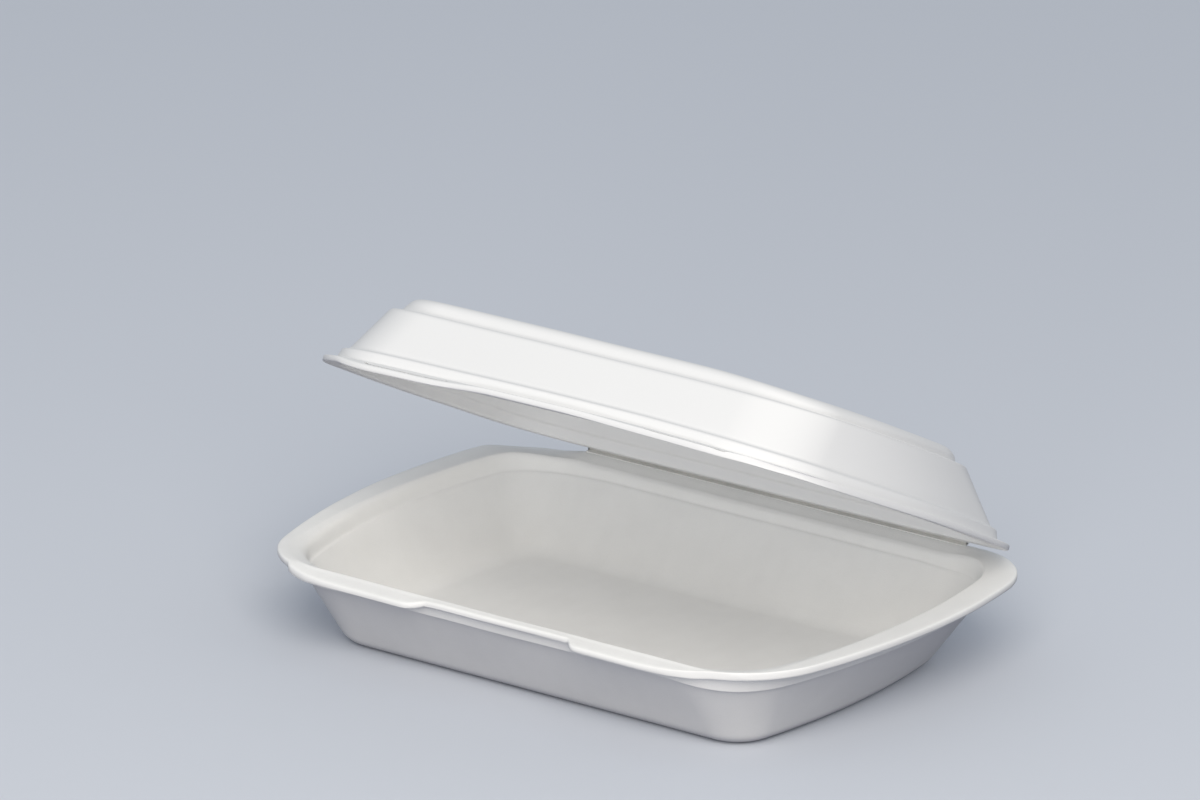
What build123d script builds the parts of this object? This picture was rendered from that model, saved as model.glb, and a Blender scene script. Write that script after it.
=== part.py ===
"""Hinged takeaway lunch box, formed in one piece from a sheet of white polystyrene foam.

Two shallow trays share one straight back edge, where the sheet is pressed thin and folds.
The base's rim carries two lock tongues, and the lid's rim has two slits for them.
The lid is shown standing ajar. X runs along the hinge, Y towards it and Z up, in millimetres.
The origin is on the ground under the middle of the rim.
"""

import math
import os

from build123d import *

# Sheet
sheet = 2.2
hinge_sheet = 0.6

# Rim of the base, as cut from the sheet
rim_length = 240.0
rim_depth = 162.0
rim_bow = 13.0
rim_taper = 8.6
rim_front_radius = 42.0
rim_back_radius = 31.0

# Rim of the lid, cut a little shorter than the base's
lid_rim_setback = 4.0
lid_front_overhang = 1.6

# Mouth that both trays share, set in from the base's rim
flange_side = 8.5
flange_front = 3.8
flange_back = 6.0
mouth_bow = 12.0
mouth_taper = 7.0
mouth_front_radius = 36.0
mouth_back_radius = 27.0
mouth_edge_radius = 1.5
ledge = 1.5

# Base tray
base_height = 34.3
base_neck = 5.0
base_neck_draft = 0.9
base_wall_run = 16.3
floor_bow = 5.7
floor_taper = 0.0
floor_corner_radius = 14.0
floor_edge_radius = 10.0

# Lid tray
lid_height = 30.0
lid_neck = 4.2
lid_neck_draft = 1.0
lid_wall_run = 10.4
shoulder_width = 3.6
shoulder_bow = 8.0
shoulder_taper = 2.0
shoulder_corner_radius = 27.0
shoulder_edge_radius = 3.2
bead_height = 5.6
bead_draft = 1.6
bead_edge_radius = 3.2

# Lock tongues on the base, one on each side of the middle
tongue_corner_gap = 17.5
tongue_length = 66.0
tongue_shoulder = 22.0
tongue_slant = 5.0
tongue_reach = 5.0
tongue_droop = 8.0
tongue_corner_radius = 4.0

# Lock slits in the lid, one over each tongue
slit_corner_gap = 34.5
slit_length = 35.0
slit_reach = 2.8
slit_width = 0.9

# Hinge
hinge_setback = 1.0
rim_gap = 0.3
lid_angle = 25.7

# Rounded edges, each formed in a few flat bands
floor_band_count = 3
edge_band_count = 2
least_edge_radius = 0.5

# Places worked out from the sizes above
rim_front = -rim_depth / 2
rim_back = rim_depth / 2
mouth_half = rim_length / 2 - flange_side
mouth_front = rim_front + flange_front
mouth_back = rim_back - flange_back
hinge_y = rim_back + hinge_setback
hinge_z = base_height + rim_gap / 2
lid_bottom = base_height + rim_gap
hinge_axis = Axis((0, hinge_y, hinge_z), (1, 0, 0))
hinge_length = 2 * (rim_length / 2 - lid_rim_setback - rim_bow + rim_taper / 2 - rim_back_radius)
tongue_outer_end = mouth_half - tongue_corner_gap
tongue_inner_end = tongue_outer_end - tongue_length
slit_outer_end = mouth_half - slit_corner_gap
slit_inner_end = slit_outer_end - slit_length


def outline(height, half_length, front, back, bow, taper, front_radius, back_radius):
    """Draw a rounded outline with bowed ends, a little shorter in front than at the back."""
    front_half = half_length - bow - taper / 2
    back_half = half_length - bow + taper / 2
    middle = (front + back) / 2
    with BuildSketch(Plane.XY.offset(height)) as shape:
        with BuildLine():
            Line((-front_half, front), (front_half, front))
            ThreePointArc((front_half, front), (half_length, middle), (back_half, back))
            Line((back_half, back), (-back_half, back))
            ThreePointArc((-back_half, back), (-half_length, middle), (-front_half, front))
        make_face()
        fillet(shape.vertices().group_by(Axis.Y)[0], radius=front_radius)
        fillet(shape.vertices().group_by(Axis.Y)[-1], radius=back_radius)
    return shape.sketch


def section(height, inset, bow, taper, front_radius, back_radius):
    """Draw the tray's outline at a height, set in from the mouth."""
    return outline(
        height,
        mouth_half - inset,
        mouth_front + inset,
        mouth_back - inset,
        bow,
        taper,
        front_radius,
        back_radius,
    )


def mouth_shape(height, inset):
    """Give the values of a section that keeps the mouth's own bow and corners."""
    front_radius = mouth_front_radius - inset
    back_radius = mouth_back_radius - inset
    return (height, inset, mouth_bow, mouth_taper, front_radius, back_radius)


def wall(face, end, radius, bands):
    """Draw a wall's sections from the flat face it starts at, round the edge there, to its end.

    The face and the end are each a height, an inset, a bow, a taper and two corner radii.
    """
    if radius == 0:
        return [section(*face), section(*end)]
    rise = abs(end[0] - face[0])
    run = abs(end[1] - face[1])
    inward = math.copysign(1, face[1] - end[1])
    turn = math.atan2(rise, run)
    reach = radius * math.tan(turn / 2)
    sections = []
    for band in range(bands + 1):
        angle = turn * band / bands
        share = radius * (1 - math.cos(angle)) / rise
        shift = inward * (reach - radius * math.sin(angle) + share * run)
        values = [near + share * (far - near) for near, far in zip(face, end)]
        height, inset, bow, taper, front_radius, back_radius = values
        front_radius -= shift
        back_radius -= shift
        sections.append(section(height, inset + shift, bow, taper, front_radius, back_radius))
    sections.append(section(*end))
    return sections


def base_form(skin, lip):
    """Form the base's outside, or with a skin and a rounded lip the hollow one sheet inside it."""
    crease = base_height - sheet - base_neck + skin
    wall_slope = math.atan2(base_wall_run, base_height - sheet - base_neck)
    wall_inset = skin / math.cos(wall_slope)
    wall_top = base_neck_draft + ledge + wall_inset - skin * math.tan(wall_slope)
    corner = floor_corner_radius - wall_inset
    floor = (skin, wall_top + base_wall_run, floor_bow, floor_taper, corner, corner)
    floor_edge = max(floor_edge_radius - skin, least_edge_radius)
    mouth = mouth_shape(base_height, skin)
    with BuildPart() as form:
        loft(wall(floor, mouth_shape(crease, wall_top), floor_edge, floor_band_count), ruled=True)
        loft(wall(mouth, mouth_shape(crease, base_neck_draft + skin), lip, edge_band_count), ruled=True)
    return form.part


def lid_form(skin, lip):
    """Form the lid's outside, or with a skin and a rounded lip the hollow one sheet inside it."""
    crease = lid_bottom + sheet + lid_neck - skin
    shoulder = lid_bottom + lid_height - bead_height - skin
    top = lid_bottom + lid_height - skin
    wall_height = lid_height - bead_height - sheet - lid_neck
    wall_slope = math.atan2(lid_wall_run, wall_height)
    wall_inset = skin / math.cos(wall_slope) - skin * math.tan(wall_slope)
    wall_bottom = lid_neck_draft + ledge + wall_inset
    wall_top = wall_bottom + lid_wall_run
    bead_bottom = lid_neck_draft + ledge + lid_wall_run + shoulder_width + skin
    corner = shoulder_corner_radius - skin
    bead_corner = corner - shoulder_width
    top_corner = bead_corner - bead_draft
    shoulder_rim = (shoulder, wall_top, shoulder_bow, shoulder_taper, corner, corner)
    bead_foot = (shoulder, bead_bottom, shoulder_bow, shoulder_taper, bead_corner, bead_corner)
    bead_top = (top, bead_bottom + bead_draft, shoulder_bow, shoulder_taper, top_corner, top_corner)
    shoulder_edge = max(shoulder_edge_radius - skin, least_edge_radius)
    bead_edge = max(bead_edge_radius - skin, least_edge_radius)
    mouth = mouth_shape(lid_bottom, skin)
    with BuildPart() as form:
        loft(wall(shoulder_rim, mouth_shape(crease, wall_bottom), shoulder_edge, edge_band_count), ruled=True)
        loft(wall(bead_top, bead_foot, bead_edge, edge_band_count), ruled=True)
        loft(wall(mouth, mouth_shape(crease, lid_neck_draft + skin), lip, edge_band_count), ruled=True)
    return form.part


def tongue_plan(height):
    """Draw one tongue from the straight fold at the mouth out past the rim's front edge."""
    fold = mouth_front
    tip = rim_front - tongue_reach
    bend = tongue_outer_end - tongue_shoulder
    with BuildSketch(Plane.XY.offset(height)) as plan:
        with BuildLine():
            Line((tongue_outer_end, fold), (tongue_inner_end, fold))
            Line((tongue_inner_end, fold), (tongue_inner_end + tongue_slant, tip))
            Line((tongue_inner_end + tongue_slant, tip), (bend, tip))
            TangentArc((bend, tip), (tongue_outer_end, fold), tangent=(1, 0))
        make_face()
        fillet(plan.vertices().group_by(Axis.Y)[0].sort_by(Axis.X)[0], radius=tongue_corner_radius)
    return plan.sketch


def slit_plan(height):
    """Draw one slit, a thin shallow bow whose ends turn back to the mouth."""
    start = mouth_front - slit_width
    reach = start - slit_reach
    turn = slit_reach
    with BuildSketch(Plane.XY.offset(height)) as plan:
        with BuildLine():
            Line((slit_inner_end + turn, reach), (slit_outer_end - turn, reach))
            TangentArc((slit_outer_end - turn, reach), (slit_outer_end, start), tangent=(1, 0))
            TangentArc((slit_inner_end + turn, reach), (slit_inner_end, start), tangent=(-1, 0))
        trace(line_width=slit_width)
    return plan.sketch


# Base: a tray under a flat rim, with two tongues that slope down from the mouth
base_outside = base_form(0, 0)
base_hollow = base_form(sheet, mouth_edge_radius)
base_rim = outline(
    base_height,
    rim_length / 2,
    rim_front,
    rim_back,
    rim_bow,
    rim_taper,
    rim_front_radius,
    rim_back_radius,
)

tongue_fold = Axis((0, mouth_front, base_height), (1, 0, 0))
with BuildPart() as tongue:
    extrude(tongue_plan(base_height), amount=-sheet)
tongue_flat = tongue.part
tongue_sloped = tongue.part.rotate(tongue_fold, tongue_droop)

with BuildPart() as base:
    add(base_outside)
    extrude(base_rim, amount=-sheet)
    for side in (tongue_flat, tongue_flat.mirror(Plane.YZ)):
        add(side, mode=Mode.SUBTRACT)
    for side in (tongue_sloped, tongue_sloped.mirror(Plane.YZ)):
        add(side)
    add(base_hollow, mode=Mode.SUBTRACT)

base.part.label = "base"

# Lid: the shallower tray, turned up about the hinge
lid_outside = lid_form(0, 0)
lid_hollow = lid_form(sheet, mouth_edge_radius)
lid_rim = outline(
    lid_bottom,
    rim_length / 2 - lid_rim_setback,
    rim_front - lid_front_overhang,
    rim_back,
    rim_bow,
    rim_taper,
    rim_front_radius,
    rim_back_radius,
)

with BuildPart() as slit:
    extrude(slit_plan(lid_bottom), amount=sheet)

with BuildPart() as lid:
    add(lid_outside)
    extrude(lid_rim, amount=sheet)
    add(lid_hollow, mode=Mode.SUBTRACT)
    for side in (slit.part, slit.part.mirror(Plane.YZ)):
        add(side, mode=Mode.SUBTRACT)

lid_open = lid.part.rotate(hinge_axis, -lid_angle)
lid_open.label = "lid"

# Hinge: the sheet pressed thin, folded along the axis between the two rims
fold_radius = hinge_sheet / 2 + rim_gap / 2
with BuildPart() as lower_strip:
    with BuildSketch(Plane.YZ.offset(-hinge_length / 2)):
        with Locations((hinge_y - hinge_setback / 2, base_height - hinge_sheet / 2)):
            Rectangle(hinge_setback, hinge_sheet)
    extrude(amount=hinge_length)
with BuildPart() as upper_strip:
    with BuildSketch(Plane.YZ.offset(-hinge_length / 2)):
        with Locations((hinge_y - hinge_setback / 2, lid_bottom + hinge_sheet / 2)):
            Rectangle(hinge_setback, hinge_sheet)
    extrude(amount=hinge_length)
with BuildPart() as hinge_web:
    with BuildSketch(Plane.YZ.offset(-hinge_length / 2)):
        with Locations((hinge_y, hinge_z)):
            Circle(fold_radius)
    extrude(amount=hinge_length)
    add(lower_strip.part)
    add(upper_strip.part.rotate(hinge_axis, -lid_angle))

hinge_web.part.label = "hinge_web"

os.makedirs("parts", exist_ok=True)
export_step(base.part, "parts/base.step")
export_step(lid_open, "parts/lid.step")
export_step(hinge_web.part, "parts/hinge_web.step")
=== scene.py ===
"""A hinged takeaway lunch box of white polystyrene foam, standing ajar on a pale floor."""

import math

import bmesh
import bpy
from mathutils import Matrix, Vector, noise


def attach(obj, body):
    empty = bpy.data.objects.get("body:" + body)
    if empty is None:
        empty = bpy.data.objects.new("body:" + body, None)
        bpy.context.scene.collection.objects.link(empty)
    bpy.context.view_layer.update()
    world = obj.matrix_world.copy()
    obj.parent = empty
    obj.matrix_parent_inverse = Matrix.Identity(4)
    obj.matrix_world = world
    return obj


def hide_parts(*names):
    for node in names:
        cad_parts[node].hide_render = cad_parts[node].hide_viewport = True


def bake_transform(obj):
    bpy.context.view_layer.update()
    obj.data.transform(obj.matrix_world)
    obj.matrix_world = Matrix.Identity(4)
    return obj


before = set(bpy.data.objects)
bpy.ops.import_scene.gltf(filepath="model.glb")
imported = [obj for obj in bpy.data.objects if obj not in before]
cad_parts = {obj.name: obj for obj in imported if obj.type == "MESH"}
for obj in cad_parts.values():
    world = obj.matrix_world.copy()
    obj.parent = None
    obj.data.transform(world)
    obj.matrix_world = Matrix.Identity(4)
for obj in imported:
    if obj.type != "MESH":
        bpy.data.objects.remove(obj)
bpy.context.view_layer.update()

# Base tray: the lower half, pressed hot between two moulds from one 2.2 mm sheet of extruded
# polystyrene foam. The knife cuts the flat rim's outline and leaves two lock tongues on the
# front, which the mould slopes down a little. Sizes are in millimetres, heights from the floor.
mm = 0.001
sheet = 2.2
mouth_half = 111.5
mouth_front = -77.2
mouth_back = 75.0
mouth_forward = 1.2
mouth_corner, mouth_back_corner = 33.0, 27.0
rim_front, rim_back, rim_bow, rim_taper = -80.75, 80.9, 13.0, 8.6
lip_bow, lip_taper, lip_corner = 10.0, 1.0, 26.0
floor_bow = 5.7
flat_shares = (0.06, 0.18, 0.32, 0.46, 0.6, 0.74, 0.87)
front_marks = (0, 8, 15, 21, 25, 27, 28, 29.2, 30.4, 31.6, 33, 35, 39, 45, 52, 59, 66, 72)
corner_steps, side_steps, back_corner_steps, back_steps = 22, 28, 14, 12


def outline(values):
    """Place points round a bowed outline of half length, front, back, bow, taper and two radii."""
    half_length, front, back, bow, taper, front_radius, back_radius = values
    front_end = Vector((half_length - bow - taper / 2, front))
    back_end = Vector((half_length - bow + taper / 2, back))
    bulge = Vector((half_length, (front + back) / 2))
    chord_a, chord_b = front_end - bulge, back_end - bulge
    turn = 2 * (chord_a.x * chord_b.y - chord_a.y * chord_b.x)
    square_a, square_b = chord_a.length_squared, chord_b.length_squared
    centre = bulge + Vector((
        (chord_b.y * square_a - chord_a.y * square_b) / turn,
        (chord_a.x * square_b - chord_b.x * square_a) / turn,
    ))
    side_radius = (bulge - centre).length

    def corner(height, radius):
        """Find the centre of a corner's arc and where it meets the side."""
        across = math.sqrt((side_radius - radius) ** 2 - (height - centre.y) ** 2)
        middle = Vector((centre.x + across, height))
        return middle, centre + (middle - centre) * side_radius / (side_radius - radius)

    def arc(middle, start, end, steps):
        """Step along an arc from one point to another, leaving the last one out."""
        first = math.atan2(start.y - middle.y, start.x - middle.x)
        sweep = math.atan2(end.y - middle.y, end.x - middle.x) - first
        radius = (start - middle).length
        angles = [first + sweep * step / steps for step in range(steps)]
        return [(middle.x + radius * math.cos(a), middle.y + radius * math.sin(a)) for a in angles]

    front_middle, front_meet = corner(front + front_radius, front_radius)
    back_middle, back_meet = corner(back - back_radius, back_radius)
    run = front_middle.x
    points = [(run * mark / front_marks[-1], front) for mark in front_marks[:-1]]
    points += arc(front_middle, Vector((run, front)), front_meet, corner_steps)
    points += arc(centre, front_meet, back_meet, side_steps)
    points += arc(back_middle, back_meet, Vector((back_middle.x, back)), back_corner_steps)
    points += [(back_middle.x * (1 - step / back_steps), back) for step in range(back_steps + 1)]
    return points + [(-x, y) for x, y in reversed(points[1:-1])]


def tray_station(height, inset, bow, taper, front_radius, back_radius):
    """Give the values of one ring of a tray, set in from the mouth."""
    return (
        height, mouth_half - inset, mouth_front + inset, mouth_back - inset,
        bow, taper, front_radius, back_radius,
    )


def mouth_station(height, inset, bow=12.0, taper=7.0, corner=mouth_corner):
    """Give the values of a ring that keeps the mouth's bow and corners."""
    corners = corner - inset, mouth_back_corner - inset
    values = list(tray_station(height, inset, bow, taper, *corners))
    values[2] -= mouth_forward
    return values


def soften(stations):
    """Round each station that has a radius, where its two walls meet."""
    rings = []
    for place, (values, reach, steps) in enumerate(stations):
        if reach == 0:
            rings.append(values)
            continue
        before, after = stations[place - 1][0], stations[place + 1][0]

        def lean(other):
            """Step from the corner towards its neighbour by the reach."""
            gap = math.hypot(other[0] - values[0], other[1] - values[1])
            return [v + (o - v) * min(reach / gap, 0.48) for v, o in zip(values, other)]

        start, end = lean(before), lean(after)
        for step in range(steps + 1):
            t = step / steps
            weights = ((1 - t) ** 2, 2 * t * (1 - t), t ** 2)
            rings.append([
                weights[0] * a + weights[1] * b + weights[2] * c
                for a, b, c in zip(start, values, end)
            ])
    return rings


def two_sided(right, left):
    """Join the right half of one outline to the left half of another."""
    middle = len(right) // 2
    return right[:middle] + left[middle:]


def flat_rings(station, shares):
    """Scale a ring of a flat floor down towards its middle."""
    middle = (station[2] + station[3]) / 2
    rings = []
    for share in shares:
        scaled = [value * share for value in station]
        scaled[0] = station[0]
        scaled[2] = middle + (station[2] - middle) * share
        scaled[3] = middle + (station[3] - middle) * share
        rings.append(scaled)
    return rings


def tray_points(rings):
    """Turn ring values into points with heights."""
    return [[Vector((x, y, ring[0])) for x, y in outline(ring[1:])] for ring in rings]


def rim_points(inner, outer, bottom, top):
    """Run a flat rim from the mouth's inside over its cut edge to the mouth's outside."""
    edge = ((0.9, top), (0.35, top - 0.12), (0.05, top - 0.45), (0.0, (top + bottom) / 2),
            (0.05, bottom + 0.45), (0.35, bottom + 0.12), (0.9, bottom))
    rows = [[] for _ in edge]
    for start, end in zip(inner, outer):
        way = end - start
        way.z = 0
        for row, (back, height) in zip(rows, edge):
            spot = start + way * max(0, 1 - back / way.length)
            row.append(Vector((spot.x, spot.y, height)))
    return rows


def between(first, second, shares, height):
    """Place rings between two others, all at one height."""
    rows = []
    for share in shares:
        row = [a.lerp(b, share) for a, b in zip(first, second)]
        rows.append([Vector((p.x, p.y, height)) for p in row])
    return rows


def extrude_rings(name, rows):
    """Extrude a ring of vertices from row to row and close both ends."""
    count = len(rows[0])
    bpy.ops.object.select_all(action="DESELECT")
    bpy.ops.mesh.primitive_circle_add(vertices=count, radius=1)
    piece = bpy.context.object
    piece.name = piece.data.name = name
    bpy.ops.object.mode_set(mode="EDIT")
    ring = list(bmesh.from_edit_mesh(piece.data).verts)
    for vertex, point in zip(ring, rows[0]):
        vertex.co = point * mm
    bpy.ops.mesh.edge_face_add()
    for row in rows[1:]:
        before = {tuple(vertex.co): place for place, vertex in enumerate(ring)}
        bpy.ops.mesh.extrude_region()
        mesh = bmesh.from_edit_mesh(piece.data)
        ring = sorted((v for v in mesh.verts if v.select), key=lambda v: before[tuple(v.co)])
        for vertex, point in zip(ring, row):
            vertex.co = point * mm
    bpy.ops.mesh.select_all(action="SELECT")
    bpy.ops.mesh.normals_make_consistent(inside=False)
    bpy.ops.object.mode_set(mode="OBJECT")
    return piece


def smoothstep(value, low, high):
    """Rise smoothly from 0 to 1 between two values."""
    t = min(1, max(0, (value - low) / (high - low)))
    return t * t * (3 - 2 * t)


tongue_start = 27.5
tongue_tip = -84.3
tongue_end_reach = 2.2
tongue_rise, tongue_fall = 0.6, 2.6
left_tongue, right_tongue = (38.5, 66, 92.5), (34.5, 58, 84)


def with_tongues(points):
    """Move the front of the rim's outline out to the two lock tongues, the left one longer."""
    reach = mouth_front - tongue_tip
    moved = []
    for point in points:
        x = abs(point.x)
        full, shoulder, end = left_tongue if point.x < 0 else right_tongue
        inside = point.y < 0 and tongue_start < x < end
        tip = mouth_front - reach * smoothstep(x, tongue_start, full) ** tongue_rise
        past = max(0, x - shoulder) / (end - shoulder)
        tip += (reach - tongue_end_reach) * past ** tongue_fall
        moved.append(Vector((point.x, min(point.y, tip) if inside else point.y, point.z)))
    return moved


def slope_front(rows, left, middle, right, blur):
    """Slope the front rim down from the mouth's fold by an angle on the left, middle and right."""
    for row in rows:
        for point in row:
            past = max(0, mouth_front - point.y)
            share = smoothstep(abs(point.x), tongue_start - blur, tongue_start + 5 + blur)
            angle = middle + ((left if point.x < 0 else right) - middle) * share
            angle *= 1 - smoothstep(point.x, 82, 94)
            point.z -= past * math.tan(math.radians(angle))


def ease_back(rows, depth):
    """Round the mouth's back lip down towards the wall, below the hinge line."""
    for row in rows:
        for point in row:
            share = smoothstep(point.y, 65, 74) * (1 - smoothstep(point.y, 74, 81.2))
            share *= smoothstep(point.z, 14, 33) * (1 - smoothstep(abs(point.x), 74, 98))
            point.z -= depth * share


def sink_neck(rows, depth):
    """Let the neck reach lower round the sides than along the front."""
    for row in rows:
        for point in row:
            share = smoothstep(point.z, 8, 28) * (1 - smoothstep(point.z, 29.8, 33.4))
            point.z -= depth * share * smoothstep(abs(point.x), 66, 96)


def bend_corner(rows, depth, height):
    """Let the back left corner of the rim hang, where the lid's weight has bent it."""
    for row in rows:
        for point in row:
            share = smoothstep(point.y, 60, 78) * smoothstep(-point.x, 77, 96)
            point.z -= depth * share * smoothstep(point.z, height - 14, height)


press_start, press_full = 77.6, 80.6
press_half, press_end = 74, 79
press_squeeze = 0.72


def press_hinge(rows, face):
    """Squeeze the rim's back edge towards the hinge line, where the mould pinches the sheet."""
    for row in rows:
        for point in row:
            share = smoothstep(point.y, press_start, press_full)
            share *= 1 - smoothstep(abs(point.x), press_half, press_end)
            point.z += (face - point.z) * share * press_squeeze


noise.seed_set(5)
ripple_depth, ripple_length = 0.22, 34
ripple_foot, ripple_full = 0.4, 8


def ripple(rows, shift):
    """Give the walls the slight unevenness of hot sheet that cools off the mould."""
    for row in rows:
        for point in row:
            if point.z < ripple_foot:
                continue
            where = Vector((point.x, point.y, point.z + shift)) / ripple_length
            share = smoothstep(point.z, ripple_foot, ripple_full)
            point += noise.noise_vector(where) * ripple_depth * share


base_height = 34.3
base_crease = 27.1
inside_floor = tray_station(sheet, 19.94, floor_bow, 0.0, 11.4, 11.4)
inside_flat = tray_station(sheet, 29.5, floor_bow, 0.0, 2.0, 2.0)
outside_floor = tray_station(0, 18.7, floor_bow, 0.0, 14.0, 14.0)
outside_flat = tray_station(0, 30.0, floor_bow, 0.0, 3.0, 3.0)
base_inside = soften([
    (inside_flat, 0, 0),
    (inside_floor, 5.2, 9),
    (mouth_station(base_crease + sheet, 3.9), 0.9, 4),
    (mouth_station(base_crease + sheet + 0.5, 3.05), 0.9, 4),
    (mouth_station(base_height - 1.2, 2.3), 1.5, 6),
    (mouth_station(base_height, 0.8, lip_bow, lip_taper, lip_corner), 1.6, 6),
    (mouth_station(base_height, -0.2, lip_bow, lip_taper, lip_corner), 0, 0),
])
base_outside = soften([
    (mouth_station(base_height - sheet, -1.2), 0, 0),
    (mouth_station(base_height - sheet, 0), 0.9, 4),
    (mouth_station(base_crease, 0.9), 0.7, 4),
    (mouth_station(base_crease - 0.1, 2.4), 0.7, 4),
    (outside_floor, 5.8, 9),
    (outside_flat, 0, 0),
])
inside_middle = flat_rings(inside_flat, flat_shares)
outside_middle = flat_rings(outside_flat, flat_shares[::-1])
mouth_inside = tray_points(inside_middle + base_inside)
mouth_outside = tray_points(base_outside + outside_middle)
rim_outline = two_sided(
    outline((119.9, rim_front, rim_back, rim_bow, rim_taper, 40.0, 28.0)),
    outline((119.5, rim_front, rim_back, rim_bow, rim_taper, 30.0, 24.0)),
)
rim_outline = with_tongues([Vector((x, y, base_height)) for x, y in rim_outline])
cut_edge = rim_points(mouth_inside[-1], rim_outline, base_height - sheet, base_height)
rim_top = between(mouth_inside[-1], cut_edge[0], (0.25, 0.5, 0.75), base_height)
rim_under = between(cut_edge[-1], mouth_outside[0], (0.3, 0.6), base_height - sheet)
rim_rows = [mouth_inside[-1]] + rim_top + cut_edge + rim_under + [mouth_outside[0]]
slope_front(rim_rows, 14, 9, 12, 2)
press_hinge(rim_rows, base_height)
base_rows = mouth_inside + rim_top + cut_edge + rim_under + mouth_outside
ease_back(base_rows, 2.2)
sink_neck(base_rows, 1.9)
bend_corner(base_rows, 2.6, base_height)
ripple(base_rows, 0)
base_tray = extrude_rings("base_tray", base_rows)


def mark_cut_edge(piece, first_row, last_row, count):
    """Mark the rows that the knife cut, for the rougher edge."""
    marks = piece.data.attributes.new("cut_edge", "FLOAT", "POINT")
    for place, mark in enumerate(marks.data):
        mark.value = 1.0 if first_row <= place // count <= last_row else 0.0


first_cut = len(mouth_inside) + len(rim_top)
mark_cut_edge(base_tray, first_cut, first_cut + len(cut_edge) - 1, len(rim_outline))

# The foam's skin shows closed cells under a millimetre wide, faint ribs left by the extruder's
# die and a cloudy evenness. The knife leaves a rougher, open-celled edge all round.


def new_group(name, inputs, outputs):
    """Start a shader node group with named number inputs and outputs."""
    group = bpy.data.node_groups.new(name, "ShaderNodeTree")
    kind = "NodeSocketFloat"
    for label, value in inputs:
        socket = group.interface.new_socket(name=label, in_out="INPUT", socket_type=kind)
        socket.default_value = value
    for label in outputs:
        group.interface.new_socket(name=label, in_out="OUTPUT", socket_type=kind)
    return group, group.nodes.new("NodeGroupInput"), group.nodes.new("NodeGroupOutput")


def math_node(tree, operation, first, second):
    """Add a math node that combines two sockets or numbers."""
    node = tree.nodes.new("ShaderNodeMath")
    node.operation = operation
    for socket, value in zip(node.inputs, (first, second)):
        if isinstance(value, (int, float)):
            socket.default_value = value
        else:
            tree.links.new(value, socket)
    return node.outputs[0]


cells, cells_in, cells_out = new_group(
    "foam cells",
    [("Cell size", 0.0005), ("Edge cut", 0.0)],
    ["Height", "Walls"],
)
place = cells.nodes.new("ShaderNodeTexCoord")
cell_scale = math_node(cells, "DIVIDE", 1.0, cells_in.outputs["Cell size"])
cell_walls = cells.nodes.new("ShaderNodeTexVoronoi")
cell_walls.feature = "DISTANCE_TO_EDGE"
cells.links.new(place.outputs["Object"], cell_walls.inputs["Vector"])
cells.links.new(cell_scale, cell_walls.inputs["Scale"])
cell_domes = cells.nodes.new("ShaderNodeTexVoronoi")
cell_domes.feature = "F1"
cells.links.new(place.outputs["Object"], cell_domes.inputs["Vector"])
cells.links.new(cell_scale, cell_domes.inputs["Scale"])
grit = cells.nodes.new("ShaderNodeTexNoise")
grit.inputs["Scale"].default_value = 2600.0
grit.inputs["Detail"].default_value = 3.0
cells.links.new(place.outputs["Object"], grit.inputs["Vector"])
wall_mask = cells.nodes.new("ShaderNodeMapRange")
wall_mask.inputs["From Max"].default_value = 0.16
wall_mask.inputs["To Min"].default_value = 1.0
wall_mask.inputs["To Max"].default_value = 0.0
cells.links.new(cell_walls.outputs["Distance"], wall_mask.inputs["Value"])
domed = math_node(cells, "MULTIPLY", cell_domes.outputs["Distance"], -0.55)
rough_edge = math_node(cells, "MULTIPLY", grit.outputs["Fac"], cells_in.outputs["Edge cut"])
cells.links.new(math_node(cells, "ADD", domed, rough_edge), cells_out.inputs["Height"])
cells.links.new(wall_mask.outputs["Result"], cells_out.inputs["Walls"])

clouds, clouds_in, clouds_out = new_group(
    "foam clouds",
    [("Rib spacing", 0.0085)],
    ["Shade", "Swell"],
)
place = clouds.nodes.new("ShaderNodeTexCoord")
cloud = clouds.nodes.new("ShaderNodeTexNoise")
cloud.inputs["Scale"].default_value = 55.0
cloud.inputs["Detail"].default_value = 4.0
cloud.inputs["Roughness"].default_value = 0.6
clouds.links.new(place.outputs["Object"], cloud.inputs["Vector"])
ribs = clouds.nodes.new("ShaderNodeTexWave")
ribs.bands_direction = "X"
ribs.inputs["Distortion"].default_value = 2.5
ribs.inputs["Detail"].default_value = 1.0
ribs.inputs["Detail Scale"].default_value = 0.6
clouds.links.new(place.outputs["Object"], ribs.inputs["Vector"])
wave_repeat = 0.314
rib_scale = math_node(clouds, "DIVIDE", wave_repeat, clouds_in.outputs["Rib spacing"])
clouds.links.new(rib_scale, ribs.inputs["Scale"])
swell = clouds.nodes.new("ShaderNodeTexNoise")
swell.inputs["Scale"].default_value = 28.0
swell.inputs["Detail"].default_value = 1.0
clouds.links.new(place.outputs["Object"], swell.inputs["Vector"])
rib_share = math_node(clouds, "MULTIPLY", ribs.outputs["Fac"], 0.05)
cloud_share = math_node(clouds, "MULTIPLY", cloud.outputs["Fac"], 0.95)
clouds.links.new(math_node(clouds, "ADD", rib_share, cloud_share), clouds_out.inputs["Shade"])
swell_ribs = math_node(clouds, "MULTIPLY", ribs.outputs["Fac"], 0.02)
swell_height = math_node(clouds, "ADD", swell.outputs["Fac"], swell_ribs)
clouds.links.new(swell_height, clouds_out.inputs["Swell"])


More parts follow.
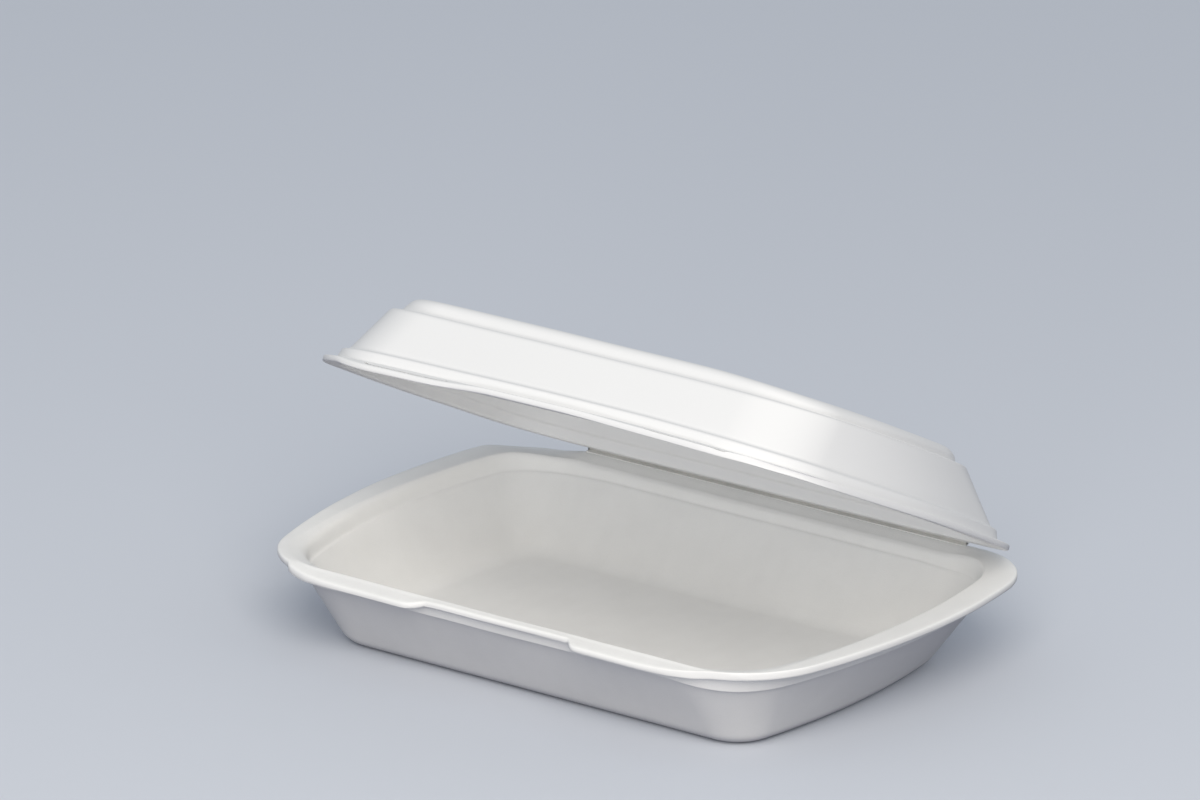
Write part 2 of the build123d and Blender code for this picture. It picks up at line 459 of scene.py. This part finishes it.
def foam_material(name, light, shade, wall_tint, cell_size, roughness, bump):
    """Make a foam with its own tones, cell size, roughness and bump depth."""
    material = bpy.data.materials.new(name)
    material.use_nodes = True
    tree = material.node_tree
    shader = tree.nodes["Principled BSDF"]
    shader.inputs["IOR"].default_value = 1.45
    shader.inputs["Specular IOR Level"].default_value = 0.35
    shader.inputs["Sheen Weight"].default_value = 0.08
    shader.inputs["Sheen Roughness"].default_value = 0.6
    cut = tree.nodes.new("ShaderNodeAttribute")
    cut.attribute_name = "cut_edge"
    cell = tree.nodes.new("ShaderNodeGroup")
    cell.node_tree = cells
    cell.inputs["Cell size"].default_value = cell_size
    tree.links.new(cut.outputs["Fac"], cell.inputs["Edge cut"])
    cloudy = tree.nodes.new("ShaderNodeGroup")
    cloudy.node_tree = clouds
    tone = tree.nodes.new("ShaderNodeMix")
    tone.data_type = "RGBA"
    tone.inputs[6].default_value = shade
    tone.inputs[7].default_value = light
    spread = tree.nodes.new("ShaderNodeMapRange")
    spread.inputs["From Min"].default_value = 0.35
    spread.inputs["From Max"].default_value = 0.62
    tree.links.new(cloudy.outputs["Shade"], spread.inputs["Value"])
    tree.links.new(spread.outputs["Result"], tone.inputs[0])
    walls = tree.nodes.new("ShaderNodeMix")
    walls.data_type = "RGBA"
    walls.blend_type = "MULTIPLY"
    walls.inputs[7].default_value = wall_tint
    tree.links.new(tone.outputs[2], walls.inputs[6])
    tree.links.new(cell.outputs["Walls"], walls.inputs[0])
    tree.links.new(walls.outputs[2], shader.inputs["Base Color"])
    rough = tree.nodes.new("ShaderNodeMapRange")
    rough.inputs["To Min"].default_value = roughness - 0.06
    rough.inputs["To Max"].default_value = roughness + 0.08
    tree.links.new(cloudy.outputs["Shade"], rough.inputs["Value"])
    tree.links.new(rough.outputs["Result"], shader.inputs["Roughness"])
    broad = tree.nodes.new("ShaderNodeBump")
    broad.inputs["Strength"].default_value = 0.35
    broad.inputs["Distance"].default_value = 0.0012
    tree.links.new(cloudy.outputs["Swell"], broad.inputs["Height"])
    fine = tree.nodes.new("ShaderNodeBump")
    fine.inputs["Strength"].default_value = bump
    fine.inputs["Distance"].default_value = 0.00012
    tree.links.new(cell.outputs["Height"], fine.inputs["Height"])
    tree.links.new(broad.outputs["Normal"], fine.inputs["Normal"])
    tree.links.new(fine.outputs["Normal"], shader.inputs["Normal"])
    return material


white_foam = foam_material(
    "white foam",
    light=(0.87, 0.868, 0.855, 1),
    shade=(0.847, 0.845, 0.832, 1),
    wall_tint=(0.975, 0.975, 0.975, 1),
    cell_size=0.0005,
    roughness=0.62,
    bump=0.3,
)


def finish_foam(piece, body, node, material):
    """Smooth the piece, give it its foam and let it stand for its solid."""
    bpy.ops.object.select_all(action="DESELECT")
    piece.select_set(True)
    bpy.context.view_layer.objects.active = piece
    bpy.ops.object.shade_smooth_by_angle(angle=math.radians(42))
    piece.data.materials.append(material)
    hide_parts(node)
    if body:
        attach(piece, body)


finish_foam(base_tray, "tray", "base", white_foam)

# Lid: the shallower upper half, with a raised bead round its top that stiffens the sheet.
# Its front rim has two slits, cut right through, that snap over the base's tongues.
# It is built closed and then swung up about the hinge line to stand ajar.
lid_bottom = 34.6
lid_rim_height = lid_bottom + sheet
lid_crease = lid_rim_height + 4.2
lid_shoulder = lid_bottom + 24.4
lid_top = lid_bottom + 30.0
lid_front = -82.1
lid_depth = 163
hinge_y, hinge_z = 82.0, 34.45
lid_angle = 25.7


def shoulder_station(height, inset, front_corner, back_corner):
    """Give the values of a ring with the shoulder's bow and corners."""
    return tray_station(height, inset, 8.0, 2.0, front_corner, back_corner)


lid_under = soften([
    (mouth_station(lid_bottom, 0.2), 0, 0),
    (mouth_station(lid_bottom, 2.3), 1.5, 6),
    (mouth_station(lid_crease - sheet - 0.3, 3.15), 0.9, 4),
    (mouth_station(lid_crease - sheet + 0.2, 5.2), 0.9, 4),
    (shoulder_station(lid_shoulder - sheet, 14.3, 26.6, 29.6), 1.7, 6),
    (shoulder_station(lid_shoulder - sheet, 17.6, 25.0, 28.3), 1.5, 5),
    (shoulder_station(lid_top - sheet, 21.2, 22.0, 28.0), 2.6, 7),
    (shoulder_station(lid_top - sheet, 38.0, 10.0, 16.0), 0, 0),
])
lid_over = soften([
    (shoulder_station(lid_top, 36.0, 12.0, 18.0), 0, 0),
    (shoulder_station(lid_top, 19.2, 23.5, 30.0), 3.4, 9),
    (shoulder_station(lid_shoulder - 0.3, 15.9, 26.0, 30.5), 1.4, 6),
    (shoulder_station(lid_shoulder, 12.9, 28.5, 31.5), 1.9, 7),
    (mouth_station(lid_crease, 3.2), 0.9, 4),
    (mouth_station(lid_crease - 0.5, 1.1), 0.8, 4),
    (mouth_station(lid_rim_height, 0), 0.4, 3),
    (mouth_station(lid_rim_height, -1.2), 0, 0),
])


def lift_front(rows, height):
    """Let the middle of the lid's free front edge stand up a little, as warm sheet sets."""
    for row in rows:
        for point in row:
            share = 1 - smoothstep(point.z, lid_crease - 2, lid_shoulder - 3)
            share *= smoothstep(-point.y, 20, 76)
            left, right = smoothstep(point.x, -112, 0), 1 - smoothstep(point.x, 40, 112)
            point.z += height * share * left * right


def skew(rows, at_hinge, at_front):
    """Slide the moulded form sideways in its trimmed rim, more at the front than at the hinge."""
    for row in rows:
        for point in row:
            point.x += at_hinge + (at_front - at_hinge) * (hinge_y - point.y) / lid_depth


def ease_bead(rows, drop, spread):
    """Let the bead sink and spread towards the right end, where the mould drew it less."""
    for row in rows:
        for point in row:
            share = smoothstep(point.x, 45, 95)
            share *= smoothstep(point.z, lid_shoulder - sheet, lid_top - sheet)
            point.z -= drop * share
            point.x += spread * share


under_middle = flat_rings(lid_under[-1], flat_shares[::-1])
over_middle = flat_rings(lid_over[0], flat_shares)
under_points = tray_points(lid_under + under_middle)
over_points = tray_points(over_middle + lid_over)
ease_bead(under_points + over_points, 1.7, 2.6)
skew(under_points + over_points, 0.8, 4.5)
lid_outline = outline((115.75, lid_front, rim_back, rim_bow, rim_taper, 42.0, 31.0))
lid_outline = [Vector((x, y, lid_bottom)) for x, y in lid_outline]
skew([lid_outline], 0.0, 2.0)
lid_cut = rim_points(over_points[-1], lid_outline, lid_bottom, lid_rim_height)
lid_rim_top = between(over_points[-1], lid_cut[0], (0.35, 0.7), lid_rim_height)
lid_rim_under = between(lid_cut[-1], under_points[0], (0.25, 0.5, 0.75), lid_bottom)
lid_rim_rows = [over_points[-1]] + lid_rim_top + lid_cut + lid_rim_under + [under_points[0]]
slope_front(lid_rim_rows, 16, 0, 7, 12)
press_hinge(lid_rim_rows, lid_bottom)
lid_rows = over_points + lid_rim_top + lid_cut + lid_rim_under + under_points
lift_front(lid_rows, 1.5)
ripple(lid_rows, 90)
lid_shell = extrude_rings("lid_shell", lid_rows)
first_cut = len(over_points) + len(lid_rim_top)
mark_cut_edge(lid_shell, first_cut, first_cut + len(lid_cut) - 1, len(lid_outline))

slit_start, slit_stop = 42.0, 77.0
slit_crease = -79.0
slit_reach = 2.0
slit_width = 1.1
slit_shift = 5.5
slit_bevel = 4.6
slit_squareness = 0.35
slit_steps = 24
knife_low = Vector((0, slit_bevel, lid_bottom - 3))
knife_high = Vector((0, -slit_bevel / 2, lid_bottom + 5))


def slit_rows(side):
    """Place the knife's four-cornered section along one slit, whose ends turn back."""
    middle = (slit_start + slit_stop) / 2
    half = (slit_stop - slit_start) / 2
    path = []
    for step in range(slit_steps + 1):
        angle = math.pi * (1 - step / slit_steps)
        x = math.copysign(abs(math.cos(angle)) ** slit_squareness, math.cos(angle))
        y = slit_crease - slit_reach * math.sin(angle)
        path.append(Vector((slit_shift + side * (middle + half * x), y, 0)))
    rows = []
    for place, point in enumerate(path):
        way = (path[min(place + 1, slit_steps)] - path[max(place - 1, 0)]).normalized()
        across = Vector((-way.y, way.x, 0)) * slit_width / 2
        near, far = point - across, point + across
        rows.append([near + knife_low, far + knife_low, far + knife_high, near + knife_high])
    return rows


for side in (-1, 1):
    knife = extrude_rings("slit_knife", slit_rows(side))
    bpy.ops.object.select_all(action="DESELECT")
    lid_shell.select_set(True)
    bpy.context.view_layer.objects.active = lid_shell
    bpy.ops.object.modifier_add(type="BOOLEAN")
    cut = lid_shell.modifiers[-1]
    cut.object = knife
    cut.operation = "DIFFERENCE"
    cut.solver = "MANIFOLD"
    bpy.ops.object.modifier_apply(modifier=cut.name)
    bpy.data.objects.remove(knife)

hinge_point = Vector((0, hinge_y, hinge_z)) * mm
swing = Matrix.Translation(hinge_point) @ Matrix.Rotation(math.radians(-lid_angle), 4, "X")
swing = swing @ Matrix.Translation(-hinge_point)
lid_shell.data.transform(swing)
finish_foam(lid_shell, "cover", "lid", white_foam)

# Hinge strip: the same sheet, pinched to 0.5 mm along the back so that it folds without tearing.
# It is denser and a little glossier than the foam beside it.
hinge_foam = foam_material(
    "pressed hinge foam",
    light=(0.84, 0.83, 0.80, 1),
    shade=(0.76, 0.755, 0.73, 1),
    wall_tint=(0.95, 0.95, 0.95, 1),
    cell_size=0.0004,
    roughness=0.48,
    bump=0.2,
)
strip_half = 82.0
strip_thickness = 0.5
strip_gap = 0.05
strip_inner, strip_outer = 79.6, 80.8
strip_steps = 60
fold_radius = 0.18
fold = [
    Vector((0, reach, base_height - strip_thickness / 2 - strip_gap))
    for reach in (strip_inner, strip_outer)
]
fold += [
    Vector((0, hinge_y + fold_radius * math.cos(math.radians(angle)),
            hinge_z + fold_radius * math.sin(math.radians(angle))))
    for angle in range(-90, 65, 14)
]
open_turn = Matrix.Rotation(math.radians(-lid_angle), 3, "X")
axis_point = Vector((0, hinge_y, hinge_z))
for reach in (strip_outer, strip_inner):
    closed = Vector((0, reach, lid_bottom + strip_thickness / 2 + strip_gap))
    fold.append(axis_point + open_turn @ (closed - axis_point))
inner_line, outer_line = [], []
for place, point in enumerate(fold):
    way = (fold[min(place + 1, len(fold) - 1)] - fold[max(place - 1, 0)]).normalized()
    across = Vector((0, -way.z, way.y)) * strip_thickness / 2
    inner_line.append(point + across)
    outer_line.append(point - across)
section = inner_line + outer_line[::-1]
strip_rows = [
    [Vector((strip_half * (2 * step / strip_steps - 1), p.y, p.z)) for p in section]
    for step in range(strip_steps + 1)
]
hinge_strip = extrude_rings("hinge_strip", strip_rows)
finish_foam(hinge_strip, None, "hinge_web", hinge_foam)
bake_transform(hinge_strip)

# Floor: a wide, plain, pale board under the box, with no horizon in the photograph's view.
# The camera sees it pale, and the light that it throws back on the box is dimmer.
seen_tone = (0.64, 0.67, 0.73, 1)
bounce_tone = (0.12, 0.13, 0.19, 1)
bpy.ops.object.select_all(action="DESELECT")
bpy.ops.mesh.primitive_plane_add(size=14)
ground = bpy.context.object
ground.name = ground.data.name = "ground"
ground_paint = bpy.data.materials.new("pale ground")
ground_paint.use_nodes = True
tree = ground_paint.node_tree
shader = tree.nodes["Principled BSDF"]
shader.inputs["Roughness"].default_value = 0.85
seen = tree.nodes.new("ShaderNodeLightPath")
tone = tree.nodes.new("ShaderNodeMix")
tone.data_type = "RGBA"
tone.inputs[6].default_value = bounce_tone
tone.inputs[7].default_value = seen_tone
tree.links.new(seen.outputs["Is Camera Ray"], tone.inputs[0])
tree.links.new(tone.outputs[2], shader.inputs["Base Color"])
ground.data.materials.append(ground_paint)

# Light: a large soft lamp in front and above, a weaker one low in front, and an even sky.
# The lamps are a little warm and the sky is a little blue, as in the photograph.
world = bpy.data.worlds.new("studio")
bpy.context.scene.world = world
world.use_nodes = True
sky = world.node_tree.nodes["Background"]
sky.inputs["Color"].default_value = (0.86, 0.92, 1.0, 1)
sky.inputs["Strength"].default_value = 0.54


def soft_lamp(name, where, aim, width, power, colour):
    """Hang a square area lamp and point it."""
    light = bpy.data.lights.new(name, "AREA")
    light.size = width
    light.energy = power
    light.color = colour
    lamp = bpy.data.objects.new(name, light)
    bpy.context.scene.collection.objects.link(lamp)
    lamp.location = where
    lamp.rotation_euler = (Vector(aim) - Vector(where)).to_track_quat("-Z", "Y").to_euler()


soft_lamp("front_lamp", (1.27, -1.60, 1.60), (0, 0, 0.05), 1.6, 45.5, (1.0, 0.94, 0.85))
soft_lamp("low_lamp", (1.08, -2.32, 0.27), (0, 0, 0.09), 0.5, 15, (1.0, 0.99, 0.98))

# Camera: a long lens at the photograph's height and bearing.
# The box's origin lands at origin_at, in pixels from the picture's top left corner.
azimuth = math.radians(36.24)
elevation = math.radians(19.92)
roll = math.radians(0.70)
distance = 3.677
focal_pixels = 10592.0
origin_at = (637.2, 649.8)
picture_width, picture_height = 1200, 800
toward = Vector((
    math.sin(azimuth) * math.cos(elevation),
    -math.cos(azimuth) * math.cos(elevation),
    math.sin(elevation),
))
right = Vector((math.cos(azimuth), math.sin(azimuth), 0))
up = toward.cross(right)
tilted_right = right * math.cos(roll) + up * math.sin(roll)
tilted_up = up * math.cos(roll) - right * math.sin(roll)
view = -toward * focal_pixels
view += (
    tilted_right * (picture_width / 2 - origin_at[0])
    + tilted_up * (origin_at[1] - picture_height / 2)
)
back = -view.normalized()
side_way = tilted_up.cross(back).normalized()
camera_data = bpy.data.cameras.new("camera")
camera_data.sensor_width = 36
camera_data.lens = focal_pixels * camera_data.sensor_width / picture_width
camera_data.clip_end = 50
camera = bpy.data.objects.new("camera", camera_data)
bpy.context.scene.collection.objects.link(camera)
turned = Matrix((side_way, back.cross(side_way), back)).transposed().to_4x4()
camera.matrix_world = Matrix.Translation(toward * distance) @ turned
bpy.context.scene.camera = camera
bpy.context.scene.view_settings.view_transform = "Standard"
